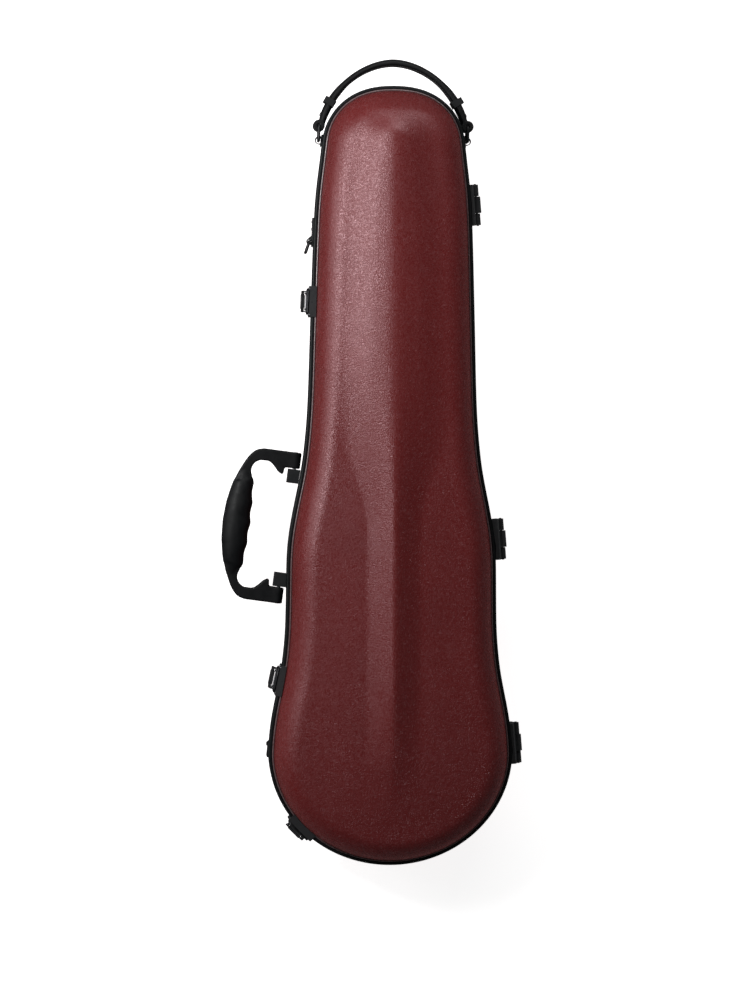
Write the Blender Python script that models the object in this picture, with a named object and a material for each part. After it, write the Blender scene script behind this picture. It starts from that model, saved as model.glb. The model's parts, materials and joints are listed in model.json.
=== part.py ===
"""Shaped violin case, closed and lying on its back with the lid up.

Everything is drawn in millimetres in the case's own axes: X across, Y from the wide end (0) to the narrow
end, Z up from the seam between base and lid. CASE_PLACE then puts the case on its feet, with the origin under
its middle.
The hinges are on the +X side; the handle and the latches are on the -X side.
"""

import math

import bmesh
import bpy
from mathutils import Matrix, Vector

MM = 0.001
GAP = 0.3  # clearance between pieces that touch

# Case outline, at the outer face of the rim
LENGTH = 790.0
WIDE_CENTRE = 116.0  # the wide end is a half ellipse below this height
NARROW_CENTRE = 731.0  # the narrow end is a half superellipse above this height
NARROW_POWER = 2.3
SIDE_STATIONS = (  # (height, half width) along a side
    (0, 124.2), (116, 124.2), (160, 119), (195, 111.6), (244, 107), (317, 106), (366, 98.9),
    (403, 91.3), (463, 85.7), (561, 82.8), (670, 79.1), (731, 72.3), (790, 67),
)  # fmt: skip

# Rim, shells and liners
RIM_WIDTH = 5.0  # the ledge that shows around the shell
RIM_SHELF = 9.5
LID_RIM_TOP = 12.0
BASE_RIM_BOTTOM = -14.0
SEAM = 0.4  # each rim stops this far from the seam plane
SHELL_EDGE = RIM_WIDTH + GAP
SHELL_THICK = 3.0
WALL_POWER = 2.4
LID_RADIUS = 25.0
LID_WALL = 40.0
BASE_RADIUS = 28.0
BASE_WALL = 66.7
LINER_EDGE = RIM_SHELF + 0.4
LINER_THICK = 3.5
FLOOR_Z = -78.0

# Lid sculpture: a keel along the middle that widens into a gable over the neck
KEEL_HALF = 28.0
KEEL_LOW, KEEL_HIGH = 9.0, 14.0
DOME_LOW, DOME_HIGH = 8.0, 3.0

RIM_JOINT = 430.0  # where the lid rim's two lengths meet, at the waist

# Hardware places
HINGE_HEIGHTS = (671.0, 332.0, 124.0)
HINGE_NARROW = Vector((84.7, 671.0, 0.0))
HINGE_WIDE = Vector((129.8, 124.0, 0.0))
HINGE_HALF = 20.5
LATCH_HEIGHTS = (572.0, 188.0, 37.0)
HANDLE_NARROW = Vector((-98.8, 400.5, -8.0))
HANDLE_WIDE = Vector((-113.8, 283.9, -8.0))
TOP_LUG_HEIGHT = 735.0
TOP_LUG_REACH = 3.6  # ring axis, out from the rim
TOP_HANDLE_Z = -7.0
RING_LENGTH = 15.0
STRAP_LUG_HEIGHTS = (633.0, 120.0)

CASE_PLACE = Matrix.Translation(Vector((0.0187, -0.4087, -FLOOR_Z * MM)))


# ---------------------------------------------------------------- curves


def smooth(low, high, value):
    share = min(1.0, max(0.0, (value - low) / (high - low)))
    return share * share * (3 - 2 * share)


def monotone(stations):
    """A smooth curve through the stations that never overshoots them."""
    xs, ys = zip(*stations)
    slopes = [(ys[i + 1] - ys[i]) / (xs[i + 1] - xs[i]) for i in range(len(xs) - 1)]
    tangents = [slopes[0]]
    for before, after in zip(slopes, slopes[1:]):
        tangents.append(0.0 if before * after <= 0 else 2 * before * after / (before + after))
    tangents.append(slopes[-1])

    def curve(x):
        i = next((k for k in range(len(xs) - 2) if x < xs[k + 1]), len(xs) - 2)
        span = xs[i + 1] - xs[i]
        t = min(1.0, max(0.0, (x - xs[i]) / span))
        rise = t * t * (3 - 2 * t)
        pull = span * t * (1 - t) * (tangents[i] * (1 - t) - tangents[i + 1] * t)
        return ys[i] + (ys[i + 1] - ys[i]) * rise + pull

    return curve


half_width = monotone(SIDE_STATIONS)


def end_share(y):
    """(how far y is into an end cap from 0 to 1, that cap's power)"""
    if y < WIDE_CENTRE:
        return (WIDE_CENTRE - y) / WIDE_CENTRE, 2.0
    return max(0.0, (y - NARROW_CENTRE) / (LENGTH - NARROW_CENTRE)), NARROW_POWER


def outline_x(y):
    share, power = end_share(y)
    return half_width(y) * max(0.0, 1 - share**power) ** (1 / power)


def centrality(x, y):
    """0 on the case's middle line, 1 on its outline."""
    share, power = end_share(y)
    return (abs(x / half_width(y)) ** power + share**power) ** (1 / power)


def outline_heights():
    quarter = math.pi / 2
    wide = [WIDE_CENTRE * (1 - math.cos(quarter * k / 8)) for k in range(9)]
    side = [150, 180, 212, 244, 285, 325, 355, 382, 412, 455, 520, 600, 670, 706]
    narrow = [NARROW_CENTRE + (LENGTH - NARROW_CENTRE) * math.sin(quarter * k / 6) for k in range(7)]
    return wide + side + narrow


def outline(inset):
    """The case's outline moved inwards by inset: points that run anticlockwise from the wide end's middle."""
    heights = outline_heights()
    right = [Vector((outline_x(y), y)) for y in heights]
    right[0].x = right[-1].x = 0.0
    points = right + [Vector((-p.x, p.y)) for p in reversed(right[1:-1])]
    moved = []
    for i, point in enumerate(points):
        tangent = (points[(i + 1) % len(points)] - points[i - 1]).normalized()
        moved.append(point + Vector((-tangent.y, tangent.x)) * inset)
    return moved


def crown(x, y):
    """How far the lid's roof stands above its walls: a shallow dome, and a keel that widens into a gable."""
    middle = centrality(x, y)
    from_edge = (1 - middle) * half_width(y)
    upper = smooth(340, 500, y)
    soft = 0.15
    slope = (math.hypot(middle, soft) - soft) / (math.hypot(1, soft) - soft)
    dome = (DOME_LOW + (DOME_HIGH - DOME_LOW) * upper) * (1 - min(1.0, slope))
    keel_half = KEEL_HALF + (half_width(y) - KEEL_HALF) * smooth(345, 540, y)
    across = min(1.0, abs(x) / keel_half)
    tent = 1 - (math.hypot(across, soft) - soft) / (math.hypot(1, soft) - soft)
    ends = smooth(8, 62, from_edge) * smooth(40, 190, y)
    keel = (KEEL_LOW + (KEEL_HIGH - KEEL_LOW) * upper) * max(0.0, tent) ** 1.4 * ends
    return (dome + keel) * smooth(SHELL_EDGE, SHELL_EDGE + LID_RADIUS, from_edge)


def edge_frame(y, side):
    """Axes on the rim's outer face at height y: X outwards, Y along the rim, Z up."""
    step = 0.5
    slope = (outline_x(y + step) - outline_x(y - step)) / (2 * step)
    outward = Vector((side, -slope, 0)).normalized()
    up = Vector((0, 0, 1))
    return frame_of(Vector((side * outline_x(y), y, 0)), outward, up.cross(outward))


def axis_frame(start, end, at, side):
    """Axes on the line from start to end, at height at: X outwards to that side, Z up."""
    along = (end - start).normalized()
    origin = start + along * ((at - start.y) / along.y)
    up = Vector((0, 0, 1))
    outward = along.cross(up) * (side if along.y > 0 else -side)
    return frame_of(origin, outward, up.cross(outward))


def frame_of(origin, x_axis, y_axis):
    rotation = Matrix((x_axis, y_axis, x_axis.cross(y_axis))).transposed()
    return Matrix.Translation(origin) @ rotation.to_4x4()


# ---------------------------------------------------------------- shapes


def faces_out(shape):
    bmesh.ops.recalc_face_normals(shape, faces=shape.faces[:])
    return shape


def prism(points, low, high, axis="Z"):
    """A polygon extruded along an axis. The points are (x, y) for Z and (x, z) for Y."""
    order = {"Z": lambda a, b, c: (a, b, c), "Y": lambda a, b, c: (a, c, b)}[axis]
    shape = bmesh.new()
    ends = [[shape.verts.new(order(p[0], p[1], c)) for p in points] for c in (low, high)]
    shape.faces.new(ends[0])
    shape.faces.new(list(reversed(ends[1])))
    for i in range(len(points)):
        j = (i + 1) % len(points)
        shape.faces.new((ends[0][j], ends[0][i], ends[1][i], ends[1][j]))
    return faces_out(shape)


def block(x, y, z):
    return prism([(x[0], y[0]), (x[1], y[0]), (x[1], y[1]), (x[0], y[1])], z[0], z[1])


def circle(radius, centre=(0, 0), sides=16):
    turn = 2 * math.pi / sides
    return [
        (centre[0] + radius * math.cos(turn * (k + 0.5)), centre[1] + radius * math.sin(turn * (k + 0.5)))
        for k in range(sides)
    ]


def arc(radius, start, end, steps, centre=(0, 0)):
    """Points along an arc between two angles in degrees."""
    angles = [math.radians(start + (end - start) * k / steps) for k in range(steps + 1)]
    return [(centre[0] + radius * math.cos(a), centre[1] + radius * math.sin(a)) for a in angles]


def rounded_rectangle(half_a, half_b, radius, steps=3):
    a, b = half_a - radius, half_b - radius
    points = []
    for corner, centre in enumerate(((a, b), (-a, b), (-a, -b), (a, -b))):
        points += arc(radius, 90 * corner, 90 * corner + 90, steps, centre)
    return points


def band(section):
    """A section of (inset, z) points swept round the case's outline."""
    shape = bmesh.new()
    columns = [[shape.verts.new((p.x, p.y, z)) for p in outline(inset)] for inset, z in section]
    count = len(columns[0])
    for i, column in enumerate(columns):
        following = columns[(i + 1) % len(columns)]
        for k in range(count):
            n = (k + 1) % count
            shape.faces.new((column[k], column[n], following[n], following[k]))
    return faces_out(shape)


def length_of(shape, y, side):
    """What lies before a height of the case (side -1) or beyond it (side 1), closed where it is cut."""
    everything = shape.verts[:] + shape.edges[:] + shape.faces[:]
    plane = {"plane_co": (0, y, 0), "plane_no": (0, -side, 0)}
    bmesh.ops.bisect_plane(shape, geom=everything, clear_outer=True, **plane)
    bmesh.ops.holes_fill(shape, edges=[edge for edge in shape.edges if edge.is_boundary])
    return faces_out(shape)


def bowl_rings(edge, edge_z, radius, wall, roof, steps):
    """Rings from a bowl's edge over its rounded wall to the line along its middle."""
    rings = []
    for k in range(steps[0] + 1):
        angle = math.pi / 2 * k / steps[0]
        inset = edge + radius * (1 - max(0.0, math.cos(angle)) ** (2 / WALL_POWER))
        z = edge_z + wall * math.sin(angle) ** (2 / WALL_POWER)
        rings.append([Vector((p.x, p.y, z)) for p in outline(inset)])
    shoulder = rings[-1]
    for k in range(1, steps[1] + 1):
        share = 1 - k / steps[1]
        ring = []
        for p in shoulder:
            spine = Vector((0, min(NARROW_CENTRE, max(WIDE_CENTRE, p.y)), p.z))
            ring.append(spine + (p - spine) * share)
        rings.append(ring)
    for ring in rings:
        for p in ring:
            p.z += roof(p.x, p.y)
    return rings


def bowl(edge, edge_z, radius, wall, roof=lambda x, y: 0.0, steps=(6, 5), sign=1, closed=False):
    """A bowl's skin. sign is -1 for one that opens upwards. closed fills its mouth."""
    shape = bmesh.new()
    rings = [
        [shape.verts.new((p.x, p.y, sign * p.z)) for p in ring]
        for ring in bowl_rings(edge, edge_z, radius, wall, roof, steps)
    ]
    for outer, inner in zip(rings, rings[1:]):
        for k in range(len(outer)):
            n = (k + 1) % len(outer)
            corners = (outer[k], outer[n], inner[n], inner[k])
            shape.faces.new(corners if sign > 0 else reversed(corners))
    if closed:
        shape.faces.new(rings[0] if sign < 0 else list(reversed(rings[0])))
    bmesh.ops.remove_doubles(shape, verts=shape.verts[:], dist=0.01)
    bmesh.ops.dissolve_degenerate(shape, edges=shape.edges[:], dist=0.01)
    return faces_out(shape) if closed else shape


def wire_loop(path, normal, radius, sides=8):
    """A round wire along a closed flat path."""
    shape = bmesh.new()
    rings = []
    for i, point in enumerate(path):
        along = (path[(i + 1) % len(path)] - path[i - 1]).normalized()
        across = along.cross(normal)
        ring = []
        for k in range(sides):
            angle = 2 * math.pi * k / sides
            spoke = across * math.cos(angle) + normal * math.sin(angle)
            ring.append(shape.verts.new(point + spoke * radius))
        rings.append(ring)
    for i, ring in enumerate(rings):
        following = rings[(i + 1) % len(rings)]
        for k in range(sides):
            n = (k + 1) % sides
            shape.faces.new((ring[k], ring[n], following[n], following[k]))
    return faces_out(shape)


def loft(stations, up=Vector((0, 0, 1)), power=2.5, sides=12):
    """Rounded sections along a flat path. A station is (centre, half width in the plane, half depth)."""
    shape = bmesh.new()
    rings = []
    for i, (centre, half, depth) in enumerate(stations):
        before, after = stations[max(0, i - 1)][0], stations[min(len(stations) - 1, i + 1)][0]
        across = (after - before).normalized().cross(up)
        ring = []
        for k in range(sides):
            angle = 2 * math.pi * (k + 0.5) / sides
            c, s = math.cos(angle), math.sin(angle)
            a = math.copysign(abs(c) ** (2 / power), c)
            b = math.copysign(abs(s) ** (2 / power), s)
            ring.append(shape.verts.new(centre + across * (half * a) + up * (depth * b)))
        rings.append(ring)
    for ring, following in zip(rings, rings[1:]):
        for k in range(sides):
            n = (k + 1) % sides
            shape.faces.new((ring[k], ring[n], following[n], following[k]))
    shape.faces.new(rings[0])
    shape.faces.new(rings[-1])
    return faces_out(shape)


# ---------------------------------------------------------------- objects


def paint(name, colour, roughness, metallic=0.0):
    made = bpy.data.materials.new(name)
    made.use_nodes = True
    surface = made.node_tree.nodes["Principled BSDF"]
    surface.inputs["Base Color"].default_value = (*colour, 1)
    surface.inputs["Roughness"].default_value = roughness
    surface.inputs["Metallic"].default_value = metallic
    return made


def joint_empty(name, frame):
    empty = bpy.data.objects.new(name, None)
    empty.empty_display_size = 0.02
    bpy.context.scene.collection.objects.link(empty)
    empty.matrix_world = to_metres(frame)
    return empty


def to_metres(frame):
    scaled = frame.copy()
    scaled.translation *= MM
    return CASE_PLACE @ scaled


def add(name, shape, frame, body, finish=None):
    """A named object from a shape that is drawn in frame, and that belongs to the body's empty."""
    bmesh.ops.scale(shape, vec=(MM, MM, MM), verts=shape.verts[:])
    mesh = bpy.data.meshes.new(name)
    shape.to_mesh(mesh)
    shape.free()
    made = bpy.data.objects.new(name, mesh)
    bpy.context.scene.collection.objects.link(made)
    if finish:
        mesh.materials.append(finish)
        mesh.shade_smooth()
        mesh.set_sharp_from_angle(angle=math.radians(35))
    if body:
        made.parent = body
        made.matrix_local = body.matrix_world.inverted() @ to_metres(frame)
    else:
        made.matrix_world = to_metres(frame)
    return made


def change(target, operation, *shapes, frame):
    """Cuts each shape out of the target, or fuses it on."""
    for shape in shapes:
        helper = shape
        if not isinstance(shape, bpy.types.Object):
            helper = add(target.name + "_helper", shape, frame, None)
            helper.hide_render = True
            helper.display_type = "WIRE"
        boolean = target.modifiers.new(operation.lower(), "BOOLEAN")
        boolean.operation = operation
        boolean.solver = "EXACT"
        boolean.object = helper
    return target


def cut(target, *shapes, frame):
    return change(target, "DIFFERENCE", *shapes, frame=frame)


def fuse(target, *shapes, frame):
    return change(target, "UNION", *shapes, frame=frame)


def guide(name, shape):
    made = add(name, shape, Matrix.Identity(4), None)
    made.hide_render = True
    made.display_type = "WIRE"
    return made


def outline_prism(inset, low, high):
    return prism([(p.x, p.y) for p in outline(inset)], low, high)


# ---------------------------------------------------------------- case


CASE = Matrix.Identity(4)


def make_rims(base, lid, finishes):
    lid_section = [
        (0, SEAM), (0, LID_RIM_TOP), (RIM_WIDTH, LID_RIM_TOP), (RIM_WIDTH, 5), (RIM_SHELF, 5),
        (RIM_SHELF, SEAM),
    ]  # fmt: skip
    groove, groove_floor = (2.2, 6.8), -2.5
    base_section = [
        (0, BASE_RIM_BOTTOM), (0, -SEAM), (groove[0], -SEAM), (groove[0], groove_floor),
        (groove[1], groove_floor), (groove[1], -SEAM), (RIM_SHELF, -SEAM), (RIM_SHELF, -5), (RIM_WIDTH, -5),
        (RIM_WIDTH, BASE_RIM_BOTTOM),
    ]  # fmt: skip
    for side, word in ((-1, "wide"), (1, "narrow")):
        length = length_of(band(lid_section), RIM_JOINT + side * GAP / 2, side)
        add(f"lid_rim_{word}", length, CASE, lid, finishes["rim"])
    add("base_rim", band(base_section), CASE, base, finishes["rim"])
    low, high = groove_floor + GAP, SEAM - GAP
    outer, inner = groove[0] + GAP, groove[1] - GAP
    gasket = [(outer, low), (outer, high), (inner, high), (inner, low)]
    add("rim_gasket", band(gasket), CASE, base, finishes["rubber"])


def solidify(target, thickness):
    made = target.modifiers.new("thickness", "SOLIDIFY")
    made.thickness = thickness * MM
    made.offset = -1
    made.use_even_offset = True


def make_shells(base, lid, finishes):
    lid_skin = bowl(SHELL_EDGE, SHELL_EDGE, LID_RADIUS, LID_WALL, crown, steps=(5, 5))
    solidify(add("lid_shell", lid_skin, CASE, lid, finishes["shell"]), SHELL_THICK)
    base_skin = bowl(SHELL_EDGE, SHELL_EDGE, BASE_RADIUS, BASE_WALL, steps=(6, 2), sign=-1)
    solidify(add("base_shell", base_skin, CASE, base, finishes["shell"]), SHELL_THICK)


def liner_roof_z():
    return SHELL_EDGE + LID_WALL - SHELL_THICK - 0.8


def ceiling(x, y):
    """Height of the lid liner's inner face over its flat middle."""
    return liner_roof_z() + crown(x, y) - LINER_THICK


def violin_hollow():
    """Outline of the hollow for the violin's body, from its lower bout to the neck."""
    stations = (
        (0, 40), (14, 76), (42, 98), (80, 105), (120, 94), (150, 74), (182, 64), (215, 72), (250, 84),
        (286, 87), (322, 76), (348, 50), (362, 30),
    )  # fmt: skip
    curve = monotone(stations)
    start = 22.0
    heights = [0, 7, 14, 28, 42, 61, 80, 100, 120, 135, 150, 166, 182, 198, 215, 232, 250, 268, 286, 304, 322]
    heights += [348, 362]
    right = [(curve(h), start + h) for h in heights]
    return right + [(-x, y) for x, y in reversed(right)]


ACCESSORY_LID_HINGE = Vector((0, 654, -4))


def make_liners(base, lid, accessory, finishes):
    wall = liner_roof_z() - 0.8
    lid_liner = bowl(LINER_EDGE, 0.8, LID_RADIUS - 3, wall, crown, steps=(4, 5))
    solidify(add("lid_liner", lid_liner, CASE, lid, finishes["plush"]), LINER_THICK)

    floor = SHELL_EDGE + BASE_WALL - SHELL_THICK - 0.6
    radius = BASE_RADIUS - SHELL_THICK - 1.6
    block_skin = bowl(LINER_EDGE, 0.9, radius, floor - 0.9, steps=(5, 1), sign=-1, closed=True)
    liner = add("base_liner", block_skin, CASE, base, finishes["plush"])
    top = 5.0
    scroll = [(x, y + 571) for x, y in rounded_rectangle(42, 56, 14)]
    well = [(x, y + 676) for x, y in rounded_rectangle(35, 16, 5)]
    tray = [(x, y + 726) for x, y in rounded_rectangle(34, 19, 10)]
    cut(
        liner,
        prism(violin_hollow(), -48, top),
        block((-28, 28), (370, 530), (-36, top)),
        prism(scroll, -50, top),
        block((-40.5, 40.5), (651.4, 699.2), (-6.4, top)),
        prism(well, -46, top),
        prism(tray, -40, top),
        frame=CASE,
    )
    hinge = Matrix.Translation(ACCESSORY_LID_HINGE)
    flap = [(x, y + 22) for x, y in rounded_rectangle(40, 22.8, 4)]
    add("accessory_lid", prism(flap, -2, 2), hinge, accessory, finishes["plush"])

    cradle = arc(16, 0, -180, 8, (0, -12))
    pad = [(-27.6, -35.6), (27.6, -35.6), (27.6, -8), (20, -8), *cradle, (-20, -8), (-27.6, -8)]
    add("neck_pad", prism(pad, 432, 466, "Y"), CASE, base, finishes["plush"])
    add("neck_strap", block((-27.4, 27.4), (438, 460), (-7.7, -6)), CASE, base, finishes["webbing"])


SPINNER_PLACES = {"left": (-56.0, 105.0), "right": (56.0, 105.0)}
SPINNER_DROP = 12.0


def make_bow_holders(lid, spinners, finishes):
    reach, post, head = 6, 3.0, 6.0
    for side, (x, y) in SPINNER_PLACES.items():
        top = min(ceiling(x + dx, y + dy) for dx in (-reach, reach) for dy in (-reach, reach)) - 0.5
        turn_z = top - SPINNER_DROP
        frame = Matrix.Translation(Vector((x, y, turn_z)))
        stem = prism(circle(post), -5, top - turn_z)
        stem = add("bow_post_" + side, stem, frame, lid, finishes["black_plastic"])
        fuse(stem, prism(circle(head), -5.5, -2.9), prism(circle(head), 2.9, top - turn_z - 0.2), frame=frame)
        tab = add(
            "bow_spinner_" + side, prism(rounded_rectangle(23, 7, 6.5), -2.5, 2.5), frame, spinners[side],
            finishes["black_plastic"],
        )  # fmt: skip
        cut(tab, prism(circle(post + GAP), -5, 5), frame=frame)
    rail_y, half = 708.0, 40.0
    top = ceiling(half, rail_y + 8) - 0.8
    rail = prism(rounded_rectangle(half, 8, 4), top - 22, top)
    holder = add("bow_tip_holder", rail, Matrix.Translation(Vector((0, rail_y, 0))), lid, finishes["plush"])
    for x in (-21, 21):
        cut(holder, block((x - 9, x + 9), (rail_y - 20, rail_y + 20), (top - 17, top - 4)), frame=CASE)


# ---------------------------------------------------------------- hardware


def hinge_frame(height):
    return axis_frame(HINGE_WIDE, HINGE_NARROW, height, 1)


def make_hinges(base, lid, cutters, finishes):
    centre_half, outer_start = 8.3, 8.9
    pin_radius = 1.3
    for number, height in enumerate(HINGE_HEIGHTS, 1):
        frame = hinge_frame(height)
        for body, sign, word in ((lid, 1, "lid"), (base, -1, "base")):
            tall = 11.0 if sign > 0 else 12.6
            plate = [(-10, 5.2), (-2.2, 5.2), (-2.2, tall - 3), (-4, tall), (-10, tall)]
            arm = [(-10, 0.9), (1.8, 0.9), (-2.2, 7.5), (-10, 7.5)]
            plate, arm = ([(n, sign * z) for n, z in shape] for shape in (plate, arm))
            leaf = add(
                f"hinge_leaf_{word}_{number}", prism(plate, -HINGE_HALF, HINGE_HALF, "Y"), frame, body,
                finishes["hardware"],
            )  # fmt: skip
            if sign > 0:
                spans, radius = ((-centre_half, centre_half),), 4.6
            else:
                spans, radius = ((-HINGE_HALF, -outer_start), (outer_start, HINGE_HALF)), 3.2
            for low, high in spans:
                fuse(leaf, prism(arm, low, high, "Y"), prism(circle(radius), low, high, "Y"), frame=frame)
            cut(leaf, cutters["rim"], prism(circle(pin_radius + GAP, sides=12), -30, 30, "Y"), frame=frame)
        pin = prism(circle(pin_radius, sides=12), -HINGE_HALF - 0.8, HINGE_HALF + 0.8, "Y")
        add(f"hinge_pin_{number}", pin, frame, base, finishes["steel"])


LATCH_PIVOT = (5.0, -4.0)  # (out from the rim, z)
BAIL_PIVOT = (4.0, -10.0)
BAIL_HOOK = (3.5, 8.3)
BAIL_HALF = 12.5
LEVER_HALF = 11.0


def latch_frame(height):
    return edge_frame(height, -1)


def make_latches(base, lid, levers, bails, cutters, finishes):
    pin_radius, wire = 1.0, 0.95
    pn, pz = LATCH_PIVOT
    bn, bz = BAIL_PIVOT
    for number, height in enumerate(LATCH_HEIGHTS, 1):
        frame = latch_frame(height)
        plate = block((-4, 2.3), (-16, 16), (-13.6, -1))
        plate = add(f"latch_plate_{number}", plate, frame, base, finishes["hardware"])
        ear = [(1.5, -7.4), (1.5, -4.2), *arc(1.95, 150, -90, 6, LATCH_PIVOT)]
        for low, high in ((-8.8, -7.0), (7.0, 8.8)):
            fuse(plate, prism(ear, low, high, "Y"), frame=frame)
        pin_hole = prism(circle(pin_radius + 0.2, LATCH_PIVOT, 12), -20, 20, "Y")
        cut(plate, cutters["rim"], pin_hole.copy(), frame=frame)
        pin = prism(circle(pin_radius, LATCH_PIVOT, 12), -LEVER_HALF - 0.2, LEVER_HALF + 0.2, "Y")
        add(f"latch_pin_{number}", pin, frame, base, finishes["steel"])

        side = [
            (pn, pz + 2.3), (pn + 2.4, pz + 1.4), (8.8, -5), (8.9, -12), (7.3, -14.5), (4.2, -12.3),
            (2.6, -11.3), (2.6, -8.8), (2.75, pz), (3.6, pz + 1.8),
        ]  # fmt: skip
        face = [(7.2, -3.6), (8.2, -3.6), (9.0, -9), (9.9, -18.6), (9.0, -19.6), (8.1, -18.8), (7.4, -10)]
        lever = add(
            f"latch_lever_{number}", prism(face, -LEVER_HALF, LEVER_HALF, "Y"), frame, levers[number - 1],
            finishes["hardware"],
        )  # fmt: skip
        middle_block = [(6.3, -3.4), (7.9, -3.4), (7.9, -15), (6.3, -13)]
        fuse(lever, prism(middle_block, -6.6, 6.6, "Y"), frame=frame)
        for low, high in ((-LEVER_HALF, -9.3), (9.3, LEVER_HALF)):
            fuse(lever, prism(side, low, high, "Y"), frame=frame)
        wire_hole = prism(circle(wire + GAP, BAIL_PIVOT, 12), -20, 20, "Y")
        cut(lever, pin_hole, wire_hole, frame=frame)

        lean = Vector((BAIL_HOOK[0] - bn, 0, BAIL_HOOK[1] - bz))
        middle = Vector((bn, 0, bz)) + lean / 2
        path = [middle + lean.normalized() * b + Vector((0, a, 0)) for a, b in
                rounded_rectangle(BAIL_HALF, lean.length / 2, 2.2, 2)]  # fmt: skip
        normal = lean.cross(Vector((0, 1, 0))).normalized()
        bail = wire_loop(path, normal, wire)
        add(f"latch_bail_{number}", bail, frame, bails[number - 1], finishes["steel"])

        keeper = block((-10, 2.2), (-15.5, 15.5), (1.0, LID_RIM_TOP + GAP + 1.4))
        keeper = add(f"latch_keeper_{number}", keeper, frame, lid, finishes["hardware"])
        fuse(keeper, block((-1, 5.2), (-10, 10), (4.2, 7.0)), frame=frame)
        cut(keeper, cutters["rim"], cutters["lid_wall"], frame=frame)


def handle_frame():
    """Axes on the handle's pivot line, at its middle: X outwards, Y along the line, Z up."""
    middle = (HANDLE_NARROW + HANDLE_WIDE) / 2
    return axis_frame(HANDLE_WIDE, HANDLE_NARROW, middle.y, -1)


HANDLE_GRIP = (  # (along the pivot line, out from it, half width, half depth), from the middle to one end
    (0, 51.1, 14.3, 12.0), (14, 51.2, 13.7, 11.8), (26, 50.4, 12.6, 11.2), (35, 49.8, 11.2, 10.2),
    (41, 49.2, 10.2, 9.0), (46, 49.5, 8.0, 7.4), (50, 49.3, 6.4, 6.2), (54, 48.8, 5.4, 5.4),
)  # fmt: skip
HANDLE_DEPTH = 5.2  # half thickness of the arms
HANDLE_OUTER = 77.3  # the arms' ends, along the pivot line


def handle_plan():
    """The handle seen from above, as (out from the pivot line, along it): grip, notches, claws and arms."""
    half = [
        (36.7, 0), (37.3, 21), (38.8, 41.5), (41.3, 46), *arc(11.2, -30, 75, 6, (32, 54.2)), (27.5, 65.2),
        (24.2, 64), (20, 60), (16.4, 56), (12.2, 53.4), (10.4, 54.2), (9.8, 60.7), (4, 60.7),
        (4, HANDLE_OUTER), (33, HANDLE_OUTER), (38.5, 75.8), (42.2, 73.6), (46, 69.6), (49.6, 64),
        (53, 57), (56.6, 48.5), (59.6, 40), (62, 31), (64.4, 17),
    ]  # fmt: skip
    return half + [(65.4, 0)] + [(n, -v) for n, v in reversed(half[1:])]


def make_handle(base, handle, cutters, finishes):
    frame = handle_frame()
    half = [(Vector((n, v, 0)), width, depth) for v, n, width, depth in HANDLE_GRIP]
    lower = [(Vector((c.x, -c.y, 0)), width, depth) for c, width, depth in half[1:]]
    grip = loft(list(reversed(half)) + lower, power=2.6)
    grip = add("side_handle", grip, frame, handle, finishes["black_plastic"])
    fuse(grip, prism(handle_plan(), -HANDLE_DEPTH, HANDLE_DEPTH), frame=frame)
    pin_radius = 2.0
    plastic = finishes["black_plastic"]
    for sign, word in ((1, "narrow"), (-1, "wide")):
        low, high = sorted((sign * 60.9, sign * (HANDLE_OUTER - 0.2)))
        fuse(grip, prism([*arc(5.6, 90, 270, 6), (14, -4.8), (14, 4.8)], low, high, "Y"), frame=frame)
        low, high = sorted((sign * 46.0, sign * 59.9))
        shape = [(-12, -6.2), (5.2, -6.2), (6.4, -5), (6.4, 5), (5.2, 6.2), (-12, 6.2)]
        bracket = add(f"handle_bracket_{word}", prism(shape, low, high, "Y"), frame, base, plastic)
        hole = prism(circle(pin_radius + GAP, sides=12), *sorted((sign * 40, sign * 90)), "Y")
        cut(bracket, cutters["rim"], hole.copy(), frame=frame)
        cut(grip, hole, frame=frame)
        low, high = sorted((sign * 46.6, sign * (HANDLE_OUTER + 0.3)))
        pin = prism(circle(pin_radius, sides=12), low, high, "Y")
        add(f"handle_pin_{word}", pin, frame, base, finishes["steel"])


def ring_x():
    return outline_x(TOP_LUG_HEIGHT) + TOP_LUG_REACH


def strap_point(angle):
    """The strap's middle line: an arch over the narrow end, a little fuller at its shoulders than a tent."""
    half, foot, rise, power = ring_x() - 1.0, 738.0, 76.0, 1.85
    across = math.copysign(abs(math.sin(angle)) ** (2 / power), angle)
    return Vector((half * across, foot + rise * math.cos(angle) ** (2 / power), TOP_HANDLE_Z))


SLIDER_ANGLE = 1.05  # where the keepers sit on the strap's arch


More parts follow.
